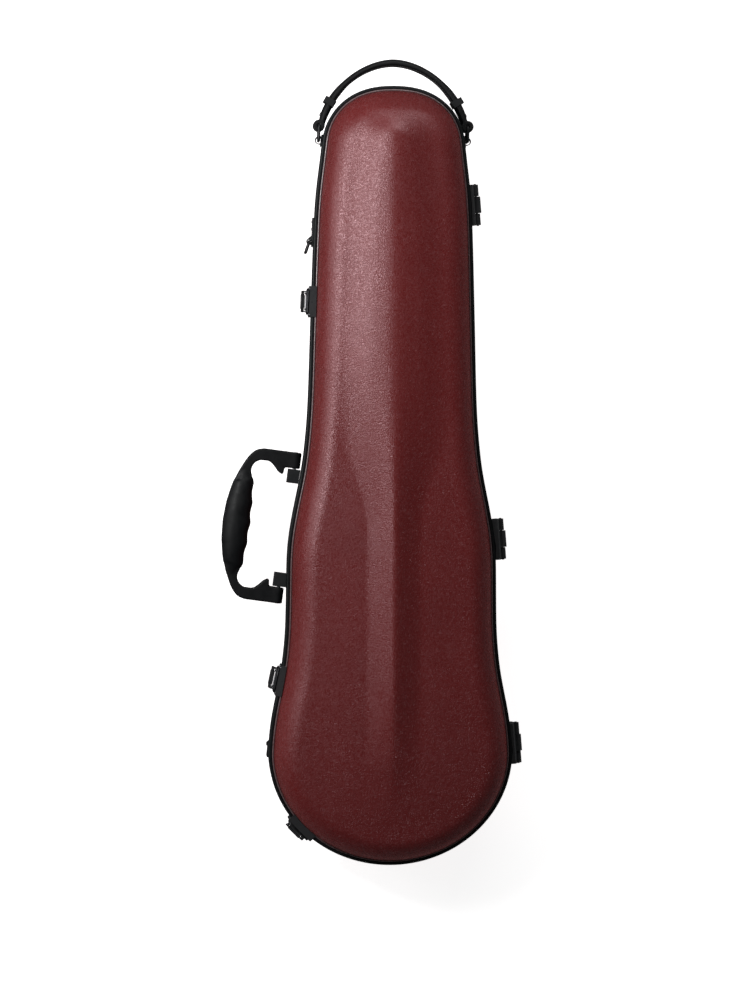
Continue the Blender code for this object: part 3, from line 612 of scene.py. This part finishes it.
def melted(name, shape, body, look, *nodes, at=CASE, voxel, passes):
    """A piece whose parts flow into each other, as in one moulding or one stuffed pad."""
    made = object_from(name, shape, at)
    remesh = made.modifiers.new("one_skin", "REMESH")
    remesh.mode = "VOXEL"
    remesh.voxel_size = voxel * MM
    soften = made.modifiers.new("soft", "SMOOTH")
    soften.factor = 0.5
    soften.iterations = passes
    graph = bpy.context.evaluated_depsgraph_get()
    made.data = bpy.data.meshes.new_from_object(made.evaluated_get(graph))
    made.modifiers.clear()
    made.data.materials.clear()
    made.data.materials.append(LOOKS[look].material)
    made.data.shade_smooth()
    settle(made, body, nodes)
    return made


def copy_of(node):
    """A CAD node's mesh in the case's axes."""
    shape = bmesh.new()
    shape.from_mesh(NODES[node].data)
    bmesh.ops.remove_doubles(shape, verts=shape.verts[:], dist=1e-6)
    return placed(shape, (CASE @ Matrix.Scale(MM, 4)).inverted())


def finish_node(node, bevel):
    """A CAD node that stays gets its look, and its edges are rounded."""
    made = NODES[node]
    made.data.materials.clear()
    made.data.materials.append(LOOKS[NODE_SLOTS[node]].material)
    rounding = made.modifiers.new("rounding", "BEVEL")
    rounding.width = bevel * MM
    rounding.segments = 2
    rounding.limit_method = "ANGLE"
    rounding.angle_limit = math.radians(38)
    rounding.harden_normals = True


def bowl(edge, edge_z, radius, wall, roof=None, sign=1, steps=(20, 38)):
    """A bowl's skin, from its edge over its wall to its middle line. With sign -1 it opens upwards."""
    rings = []
    for k in range(steps[0] + 1):
        angle = QUARTER_TURN * k / steps[0]
        inset = edge + radius * (1 - max(0.0, math.cos(angle)) ** (2 / WALL_POWER))
        z = edge_z + wall * math.sin(angle) ** (2 / WALL_POWER)
        rings.append([Vector((p.x, p.y, z)) for p in outline(inset)])
    shoulder = rings[-1]
    for k in range(1, steps[1] + 1):
        share = (1 - k / steps[1]) ** 1.3
        ring = []
        for p in shoulder:
            spine = Vector((0, min(NARROW_CENTRE, max(WIDE_CENTRE, p.y)), p.z))
            ring.append(spine + (p - spine) * share)
        rings.append(ring)
    for ring in rings:
        for p in ring:
            p.z = sign * (p.z + (roof(p.x, p.y) if roof else 0))
    shape = skin(rings)
    bmesh.ops.remove_doubles(shape, verts=shape.verts[:], dist=0.01)
    bmesh.ops.dissolve_degenerate(shape, edges=shape.edges[:], dist=0.005)
    faces_out(shape)
    top = max(shape.faces, key=lambda face: sign * face.calc_center_median().z)
    if sign * top.normal.z < 0:
        bmesh.ops.reverse_faces(shape, faces=shape.faces[:])
    return shape


def thicken(made, thickness):
    solid = made.modifiers.new("thickness", "SOLIDIFY")
    solid.thickness = thickness * MM
    solid.offset = -1


def make_shells():
    lid = bowl(SHELL_EDGE, SHELL_EDGE, LID_RADIUS, LID_WALL, crown)
    thicken(piece("grained_lid_shell", lid, "lid", "shell", "lid_shell", sharp=60), SHELL_THICK)
    base = bowl(SHELL_EDGE, SHELL_EDGE, BASE_RADIUS, BASE_WALL, sign=-1, steps=(22, 16))
    thicken(piece("grained_base_shell", base, "case_base", "shell", "base_shell", sharp=60), SHELL_THICK)


RIM_ROUNDING = 0.35


def make_rims():
    """Each rim is a ribbed extrusion with fine grooves outside. A polished lip, coloured pale pinkish grey as a
    painted highlight, lies on its inner edge.
    """
    lid = [
        (0.3, 0.4), (0, 1.2), (0, 4.9), (0.5, 5.4), (0, 5.9), (0, 10.6), (0.4, 11.6), (1.1, 12.0),
        (2.9, 11.9), (3.3, 11.4), (3.4, 10.6), (5, 10.6), (5, 5), (9.5, 5), (9.5, 0.4),
    ]
    base = [
        (0.5, -13.8), (0, -12.9), (0, -7.6), (0.5, -7.0), (0, -6.4), (0, -1.2), (0.3, -0.4), (2.2, -0.4),
        (2.2, -2.5), (6.8, -2.5), (6.8, -0.4), (9.5, -0.4), (9.5, -5), (5, -5), (5, -12.6), (3.4, -12.6),
        (3.3, -13.4), (2.9, -13.9), (1.1, -14),
    ]
    lid, base = band(softened(lid, RIM_ROUNDING)), band(softened(base, RIM_ROUNDING))
    piece("ribbed_lid_rim", lid, "lid", "rim", "lid_rim_wide", "lid_rim_narrow", sharp=50)
    piece("ribbed_base_rim", base, "case_base", "rim", "base_rim", sharp=50)
    for name, body, side in (("lid_lip", "lid", 1), ("base_lip", "case_base", -1)):
        bead = [(5.25, 10.8), (5.25, 12.2), *arc(0.9, 25, 180, 8, (4.45, 12.0)), (3.55, 10.8)]
        piece(name, band([(inset, side * z) for inset, z in bead]), body, "lip", sharp=50)
    gasket = [(2.5, -2.2), (2.5, -0.6), (3.3, 0.1), (4.5, -0.3), (5.7, 0.1), (6.5, -0.6), (6.5, -2.2)]
    piece("ribbed_gasket", band(softened(gasket, 0.4)), "case_base", "rubber", "rim_gasket", sharp=50)


def make_linings():
    ceiling = SHELL_EDGE + LID_WALL - SHELL_THICK - 1.6
    lining = bowl(LINER_EDGE, 0.8, LID_RADIUS - 3, ceiling, crown, steps=(14, 26))
    lid = piece("velour_lid_lining", lining, "lid", "plush", "lid_liner", sharp=60)
    thicken(lid, LINER_THICK)
    piping = [(a + 14.6, b + 1.9) for a, b in arc(1.3, 0, 330, 11)]
    piece("lid_piping", band(piping), "lid", "webbing")

    inside, top = SHELL_THICK + 0.4, 3.5
    wall = SHELL_EDGE + BASE_WALL - inside - top
    backing = bowl(SHELL_EDGE + inside, top, BASE_RADIUS - inside, wall, sign=-1, steps=(16, 12))
    bmesh.ops.solidify(backing, geom=backing.faces[:], thickness=BACKING_THICK)
    bed = join(copy_of("base_liner"), faces_out(backing))
    bed = melted("velour_violin_bed", bed, "case_base", "plush", "base_liner", voxel=1.7, passes=8)
    for node, name, body in (
        ("neck_pad", "velour_neck_pad", "case_base"),
        ("accessory_lid", "velour_accessory_lid", "accessory_lid"),
        ("bow_tip_holder", "velour_bow_tip_holder", "lid"),
    ):
        melted(name, copy_of(node), body, "plush", node, voxel=1.0, passes=8)

    low, high = ((CASE.inverted() @ corner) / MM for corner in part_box("neck_strap"))
    middle, half = (low + high) / 2, (high - low) / 2
    rows = []
    for k in range(33):
        x = half.x * (k / 16 - 1)
        rise = 0.25 * math.cos(math.pi * x / half.x / 2)
        section = rounded_rectangle(half.y, half.z * 0.8, 0.6, 3)
        rows.append([Vector((middle.x + x, middle.y + a, middle.z + b + rise - 0.12)) for a, b in section])
    piece("woven_neck_strap", faces_out(skin(rows, caps=True)), "case_base", "webbing", "neck_strap")


# ---------------------------------------------------------------- hardware


LEVER_PIVOT = Vector((5, 0, -4))
BAIL_FOOT = Vector((4.0, 0, -10.0))
BAIL_LENGTH = 18.31
BAIL_HALF_WIDTH = 12.5


def make_latches():
    for number in (1, 2, 3):
        rim = joint_frame(f"latch_lever_{number}_hinge", -1) @ Matrix.Translation(-LEVER_PIVOT * MM)
        lever = f"latch_lever_{number}"
        centres = [(9.75 - 0.14 * k, -16.4 + 1.9 * k) for k in range(4)]
        ridges = [prism(arc(0.75, 0, 330, 11, centre), -7.5, 7.5, 0.3, "Y") for centre in centres]
        piece(f"lever_ridges_{number}", join(*ridges), lever, "hardware", at=rim)
        lean = Vector((-0.5, 0, 18.3)).normalized()
        middle = BAIL_FOOT + lean * BAIL_LENGTH / 2
        corners = rounded_rectangle(BAIL_HALF_WIDTH, BAIL_LENGTH / 2, 2.2, 5)
        path = [middle + lean * b + Vector((0, a, 0)) for a, b in corners]
        normal = lean.cross(Vector((0, 1, 0))).normalized()
        bail = f"latch_bail_{number}"
        # the bails' near-black colour is painted shade on the nickel wire
        piece(f"wire_bail_{number}", wire_loop(path, normal, 0.95), bail, "dark_wire", bail, at=rim)
        rivets = join(*[outward_rivet(1.5, 0.7, (2.3, v, -10)) for v in (-13.9, 13.9)])
        piece(f"latch_plate_rivets_{number}", rivets, "case_base", "steel", at=rim)
        rivets = join(*[outward_rivet(1.5, 0.7, (2.2, v, 7)) for v in (-12.9, 12.9)])
        piece(f"latch_keeper_rivets_{number}", rivets, "lid", "steel", at=rim)


HANDLE_DEPTH = 5.3  # half thickness of the arms
HANDLE_OUTER = 77.3  # the arms' ends, along the pivot line
GRIP_HALF = 41.5
grip_inner = monotone(((0, 36.7), (21, 37.3), (GRIP_HALF, 38.8), (46, 41.5), (50, 42.9), (54, 43.2)))
grip_outer = monotone(((0, 65.4), (17, 64.4), (31, 62), (40, 59.6), (48.5, 56.6), (54, 54.2)))
grip_depth = monotone(((0, 12), (14, 11.8), (26, 11.2), (35, 10.2), (41, 9), (46, 7.4), (50, 6.2), (54, 5.3)))
FINGER_PITCH, FINGER_DEPTH = GRIP_HALF / 2, 1.3


def handle_plan():
    """The handle seen from above, as (out from the pivot line, along it): grip, notches, claws and arms."""
    outer = [
        (38.5, 75.8), (42.2, 73.6), (46, 69.6), (49.6, 64), (53, 57), (56.6, 48.5), (59.6, 40), (62, 31),
        (64.4, 17),
    ]
    half = [
        (36.7, 0), (37.3, 21), (38.8, 41.5), (41.3, 46), *arc(11.2, -30, 75, 14, (32, 54.2)),
        (27.5, 65.2), (24.2, 64), (20, 60), (16.4, 56), (12.4, 53.5), (10.6, 54.2), (9.9, 60.9),
        (4, 60.9), (4, HANDLE_OUTER), (33, HANDLE_OUTER), *[tuple(p) for p in spline(outer, 4)],
    ]
    return half + [(65.4, 0)] + [(n, -v) for n, v in reversed(half[1:])]


def make_side_handle():
    """One moulding, with four shallow hollows for the fingers along the grip's inner side."""
    stations = []
    for v in range(-54, 55):
        hollow = FINGER_DEPTH * abs(math.sin(math.pi * v / FINGER_PITCH)) if abs(v) < GRIP_HALF else 0.0
        inner, outer = grip_inner(abs(v)) + hollow, grip_outer(abs(v))
        stations.append((Vector(((inner + outer) / 2, -v, 0)), (outer - inner) / 2, grip_depth(abs(v))))
    parts = [loft(stations, superellipse(2.2, 36))]
    hollowed = [(n + 3, v) if abs(v) < GRIP_HALF and n < 50 else (n, v) for n, v in handle_plan()]
    parts.append(prism(hollowed, -HANDLE_DEPTH, HANDLE_DEPTH, 1.6))
    for sign in (1, -1):
        low, high = sorted((sign * 61, sign * HANDLE_OUTER))
        parts.append(prism([*arc(5.6, 90, 270, 12), (14, -5), (14, 5)], low, high, 1.0, "Y"))
    at = joint_frame("side_handle_hinge", -1)
    melted(
        "moulded_side_handle", join(*parts), "side_handle", "black_plastic", "side_handle",
        at=at, voxel=0.8, passes=3,
    )


def ring_centre():
    low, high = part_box("top_ring_right")
    return (CASE.inverted() @ ((low + high) / 2)) / MM


def strap_point(angle, height):
    """The top strap's middle line, as part.py has it."""
    half, foot, rise, power = ring_centre().x - 1.0, 738.0, 76.0, 1.85
    across = math.copysign(abs(math.sin(angle)) ** (2 / power), angle)
    return Vector((half * across, foot + rise * math.cos(angle) ** (2 / power), height))


RING_LENGTH = 15.0
STRAP_HALF_WIDTH = 8.9


def make_top_handle():
    pivot = joint_frame("top_handle_swing")
    centre = ring_centre()
    height = centre.z
    pivot_y = ((CASE.inverted() @ pivot.translation) / MM).y
    thickness = monotone(((0, 3.8), (0.7, 3.4), (0.9, 4.0), (1.15, 4.2), (1.36, 3.4), (1.5, 3.2)))
    last, count = 1.405, 96
    angles = [last * (2 * k / count - 1) for k in range(count + 1)]
    padded_section = [(a * (0.62 + 0.38 * smooth(1, 0.45, abs(b))), b) for a, b in superellipse(5, 40)]
    stations = [(strap_point(a, height), thickness(abs(a)), STRAP_HALF_WIDTH) for a in angles]
    parts = [loft(stations, padded_section)]
    for side in (-1, 1):
        eye = (side * centre.x, pivot_y + RING_LENGTH)
        outer, hole = arc(6.0, 0, 345, 23, eye), arc(2.0, 0, 345, 23, eye)
        parts.append(ring_slab(outer, hole, height - STRAP_HALF_WIDTH, height + STRAP_HALF_WIDTH))
    melted("padded_leather_strap", join(*parts), "top_handle", "leather", "top_strap", voxel=0.7, passes=2)
    make_strap_stitches(height, thickness)

    for side, word in ((-1, "left"), (1, "right")):
        middle = Vector((side * centre.x, pivot_y + RING_LENGTH / 2, height))
        path = [middle + Vector((0, a, b)) for a, b in rounded_rectangle(RING_LENGTH / 2, 11, 2.4, 5)]
        name = f"top_ring_{word}"
        piece(f"wire_{name}", wire_loop(path, Vector((1, 0, 0)), 1.4), "top_handle", "hardware", name)
        angle = side * 1.24
        point, ahead = strap_point(angle, height), strap_point(angle + 0.02, height)
        outward = (ahead - point).normalized().cross(UP)
        outward *= side * math.copysign(1, outward.x)
        turn = outward.to_track_quat("Z", "Y").to_matrix().to_4x4()
        turn.translation = point + outward * (thickness(abs(angle)) - 0.4)
        piece(f"strap_rivet_{word}", placed(rivet(2.6, 1.3), turn), "top_handle", "steel")


def ring_slab(outer, hole, low, high):
    """A flat ring between two outlines of equal count."""
    levels = ((outer, low), (outer, high), (hole, high), (hole, low))
    return faces_out(skin([[(a, b, z) for a, b in points] for points, z in levels], loop=True))


def make_strap_stitches(height, thickness):
    """Two rows of thread on each face of the strap, along its edges."""
    stitches = []
    pitch, reach, edge, thread = 0.034, 0.011, 6.6, 0.42
    shares = (0, 0.25, 0.5, 0.75, 1)
    swell = [thread * math.sin(math.pi * (0.1 + 0.8 * t)) for t in shares]
    count = int(2.1 / pitch)
    for k in range(count + 1):
        angle = pitch * (k - count / 2)
        start, end = strap_point(angle - reach, height), strap_point(angle + reach, height)
        along = (end - start).normalized()
        outward = along.cross(UP)
        for face in (-1, 1):
            for row in (-edge, edge):
                lift = outward * face * (thickness(abs(angle)) * 0.83)
                path = [start + (end - start) * t + lift + UP * row for t in shares]
                stations = [(point, half, thread) for point, half in zip(path, swell)]
                stitches.append(loft(stations, superellipse(2, 6)))
    piece("strap_stitches", join(*stitches), "top_handle", "webbing")


def make_strap_rings():
    for word, lean in (("narrow", 17), ("wide", 4)):
        joint = JOINTS[f"strap_ring_{word}_swing"]
        at = Vector(joint["pos_m"])
        y = (at.y - CASE.translation.y) / MM
        rim = edge_frame(y, -1)
        rim.translation = at
        turn = math.radians(lean)
        direction = Vector((math.sin(turn), math.cos(turn), 0))
        path = [direction * (6 + a) + Vector((0, 0, b)) for a, b in rounded_rectangle(6, 9, 2.4, 5)]
        node = f"strap_ring_{word}"
        piece(f"wire_{node}", wire_loop(path, direction.cross(UP), 1.45), node, "hardware", node, at=rim)
        turn = Matrix.Rotation(QUARTER_TURN, 4, "Y")
        rivets = [placed(rivet(1.7, 0.8), Matrix.Translation((-1.9, v, 0)) @ turn) for v in (-20, -12.5)]
        piece(f"strap_lug_rivets_{word}", join(*rivets), "case_base", "steel", at=rim)


def make_feet():
    profile = [(0, 0.9), (5.2, 0.9), (6, 0), (8.1, 0), (8.9, 0.8), (9, 3.2), (8.2, 5.0), (7.6, 5.7), (0, 5.7)]
    for node in sorted(NODES):
        if node.startswith("foot_"):
            low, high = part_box(node)
            centre = Vector(((low.x + high.x) / 2, (low.y + high.y) / 2, low.z))
            at = Matrix.Translation(centre)
            piece(f"turned_{node}", turned(profile), "case_base", "rubber", node, at=at)


KEPT_EDGES = {  # CAD nodes whose shape is right stay, with their edges rounded by this
    "hinge_leaf": 0.45, "hinge_pin": 0.25, "latch_plate": 0.45, "latch_pin": 0.2, "latch_lever": 0.55,
    "latch_keeper": 0.45, "handle_bracket": 1.2, "handle_pin": 0.3, "top_lug": 0.45, "strap_lug": 0.45,
    "bow_post": 0.6, "bow_spinner": 1.2, "strap_slider": 0.6,
}


def keep_cad_hardware():
    for node in sorted(NODES):
        kind = "_".join(node.split("_")[:2])
        if kind in KEPT_EDGES:
            finish_node(node, KEPT_EDGES[kind])


# ---------------------------------------------------------------- studio


def softbox(name, place, aim, size, power):
    lamp = bpy.data.lights.new(name, "AREA")
    lamp.shape = "RECTANGLE"
    lamp.size, lamp.size_y = size
    lamp.energy = power
    made = bpy.data.objects.new(name, lamp)
    bpy.context.scene.collection.objects.link(made)
    made.location = place
    made.rotation_euler = (Vector(aim) - Vector(place)).to_track_quat("-Z", "Y").to_euler()
    made.visible_camera = False


def make_studio():
    scene = bpy.context.scene
    scene.view_settings.view_transform = "Standard"
    world = bpy.data.worlds.new("studio")
    world.use_nodes = True
    world.node_tree.nodes["Background"].inputs["Color"].default_value = (1, 1, 1, 1)
    world.node_tree.nodes["Background"].inputs["Strength"].default_value = 0.06
    scene.world = world

    floor = Look("pale_floor", (0.9, 0.9, 0.9), 0.8, Emission_Strength=0.86)
    floor.shader.inputs["Emission Color"].default_value = (1, 1, 1, 1)
    reach = 6.0
    mesh = bpy.data.meshes.new("floor")
    corners = [(-reach, -reach, 0), (reach, -reach, 0), (reach, reach, 0), (-reach, reach, 0)]
    mesh.from_pydata(corners, [], [(0, 1, 2, 3)])
    mesh.materials.append(floor.material)
    ground = bpy.data.objects.new("floor", mesh)
    scene.collection.objects.link(ground)
    ground.visible_glossy = False

    softbox("key", (-0.72, 0.36, 1.05), (0, 0.2, 0.1), (0.36, 0.4), 9.5)
    softbox("side", (-1.4, 0.4, 0.7), (0, 0.2, 0.1), (0.6, 1.2), 7)
    softbox("end", (0.15, 1.05, 0.85), (0, 0.25, 0.1), (1.0, 0.4), 6.5)


CAMERA_DISTANCE = 3.535
CAMERA_YAW, CAMERA_PITCH, CAMERA_ROLL = 3.49, 2.02, 0.31
FRAME_HEIGHT = 1.015  # what the view spans at the seam, from top to bottom
AIM_LEFT, AIM_DOWN = 0.0163, 0.0233  # from the case's middle to the view's
SENSOR = 36.0


def make_camera():
    """The camera looks down on the lid, from a little towards the handle and the narrow end."""
    yaw, pitch, roll = (math.radians(angle) for angle in (CAMERA_YAW, CAMERA_PITCH, CAMERA_ROLL))
    back = Vector((-math.sin(yaw) * math.cos(pitch), math.sin(pitch), math.cos(yaw) * math.cos(pitch)))
    middle = CASE @ (Vector((0, LENGTH / 2, 0)) * MM)
    right = Vector((0, 1, 0)).cross(back).normalized()
    upward = back.cross(right)
    right = right * math.cos(roll) + upward * math.sin(roll)
    upward = back.cross(right)
    lens = bpy.data.cameras.new("camera")
    lens.sensor_width = SENSOR
    lens.lens = SENSOR * CAMERA_DISTANCE / FRAME_HEIGHT
    lens.shift_x, lens.shift_y = -AIM_LEFT / FRAME_HEIGHT, -AIM_DOWN / FRAME_HEIGHT
    made = bpy.data.objects.new("camera", lens)
    bpy.context.scene.collection.objects.link(made)
    made.location = middle + back * CAMERA_DISTANCE
    made.rotation_euler = Matrix((right, upward, back)).transposed().to_euler()
    bpy.context.scene.camera = made


make_camera()
make_studio()
make_shells()
make_rims()
make_linings()
make_latches()
make_side_handle()
make_top_handle()
make_strap_rings()
make_feet()
keep_cad_hardware()
